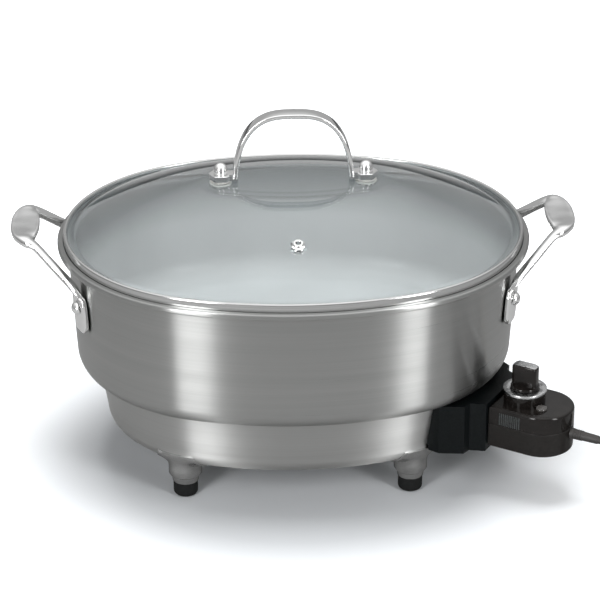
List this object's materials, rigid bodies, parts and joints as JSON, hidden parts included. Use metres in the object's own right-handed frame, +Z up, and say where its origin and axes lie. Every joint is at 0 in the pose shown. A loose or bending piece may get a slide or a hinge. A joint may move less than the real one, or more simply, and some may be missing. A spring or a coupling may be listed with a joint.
{
  "type": "electric skillet",
  "caption": "Oval electric skillet with a deep pan, a steel skirted base on legs, loop handles, a domed glass lid and a plug-in heat control with a cord.",
  "frame": {"origin": "on the table, below the middle of the oval pan", "axes": "+X along the pan's length towards the end with the heat control, +Y to the back, +Z up"},
  "size_m": [0.5717, 0.3049, 0.2989],
  "materials": {
    "brushed_steel": "brushed along the wall",
    "pan_coat": "smooth grey ceramic coating",
    "cast_plate": "as cast",
    "tube_sheath": "dark, heat tinted",
    "bead_ceramic": "unglazed ceramic",
    "base_steel": "brushed along the wall",
    "cover_steel": "matt rolled sheet",
    "screw_steel": "zinc plated",
    "leg_cast": "polished cast",
    "foot_rubber": "moulded",
    "polished_steel": "polished",
    "shroud_plastic": "fine grain",
    "pin_metal": "plated",
    "glass": "clear",
    "band_steel": "polished",
    "black_rubber": "matt",
    "clear_rubber": "silicone",
    "control_gloss": "glossy",
    "control_matte": "satin",
    "lens_smoke": "smoky clear",
    "dial_metal": "printed face",
    "knob_plastic": "satin with a silvered top",
    "cord_rubber": "smooth",
    "plug_plastic": "moulded",
    "blade_brass": "plain"
  },
  "bodies": {
    "skillet": {"outer_shell": "brushed_steel", "cooking_pan": "pan_coat", "heat_plate": "cast_plate", "heating_tube": "tube_sheath", "tube_seals": "bead_ceramic", "base_skirt": "base_steel", "bottom_cover": "cover_steel", "cover_screws": "screw_steel", "leg_front_left": "leg_cast", "leg_front_right": "leg_cast", "leg_rear_left": "leg_cast", "leg_rear_right": "leg_cast", "foot_front_left": "foot_rubber", "foot_front_right": "foot_rubber", "foot_rear_left": "foot_rubber", "foot_rear_right": "foot_rubber", "foot_screws": "screw_steel", "handle_left": "polished_steel", "handle_right": "polished_steel", "rivets_left": "polished_steel", "rivets_right": "polished_steel", "socket_shroud": "shroud_plastic", "shroud_screws": "screw_steel", "terminal_block": "bead_ceramic", "terminal_pins": "pin_metal", "probe_guide": "cast_plate"},
    "lid": {"lid_glass": "glass", "lid_band": "band_steel", "lid_handle": "polished_steel", "lid_gaskets": "black_rubber", "lid_inner_gaskets": "black_rubber", "lid_washers": "screw_steel", "lid_screws": "screw_steel", "lid_cap_nuts": "polished_steel", "vent_eyelet": "polished_steel", "vent_gasket": "clear_rubber", "vent_nut": "screw_steel"},
    "control": {"control_upper": "control_gloss", "control_lower": "control_matte", "control_nose": "control_matte", "control_screws": "screw_steel", "thermostat": "bead_ceramic", "temperature_probe": "pin_metal", "terminal_sleeves": "pin_metal", "indicator_lens": "lens_smoke", "strain_relief": "black_rubber", "power_cord": "cord_rubber", "cord_coil": "cord_rubber", "plug_body": "plug_plastic", "plug_blades": "blade_brass"},
    "dial": {"dial_ring": "dial_metal", "dial_knob": "knob_plastic", "dial_shaft": "screw_steel"}
  },
  "joints": [
    {"name": "lid_lift", "type": "slide", "parent": "skillet", "child": "lid", "axis": [0, 0, 1], "range_m": [0, 0.12]},
    {"name": "control_unplug", "type": "slide", "parent": "skillet", "child": "control", "axis": [0.848, -0.5299, 0], "range_m": [0, 0.09]},
    {"name": "dial_turn", "type": "hinge", "parent": "control", "child": "dial", "pos_m": [0.18114, -0.0832, 0], "axis": [0, 0, 1], "range_deg": [-270, 0]}
  ]
}
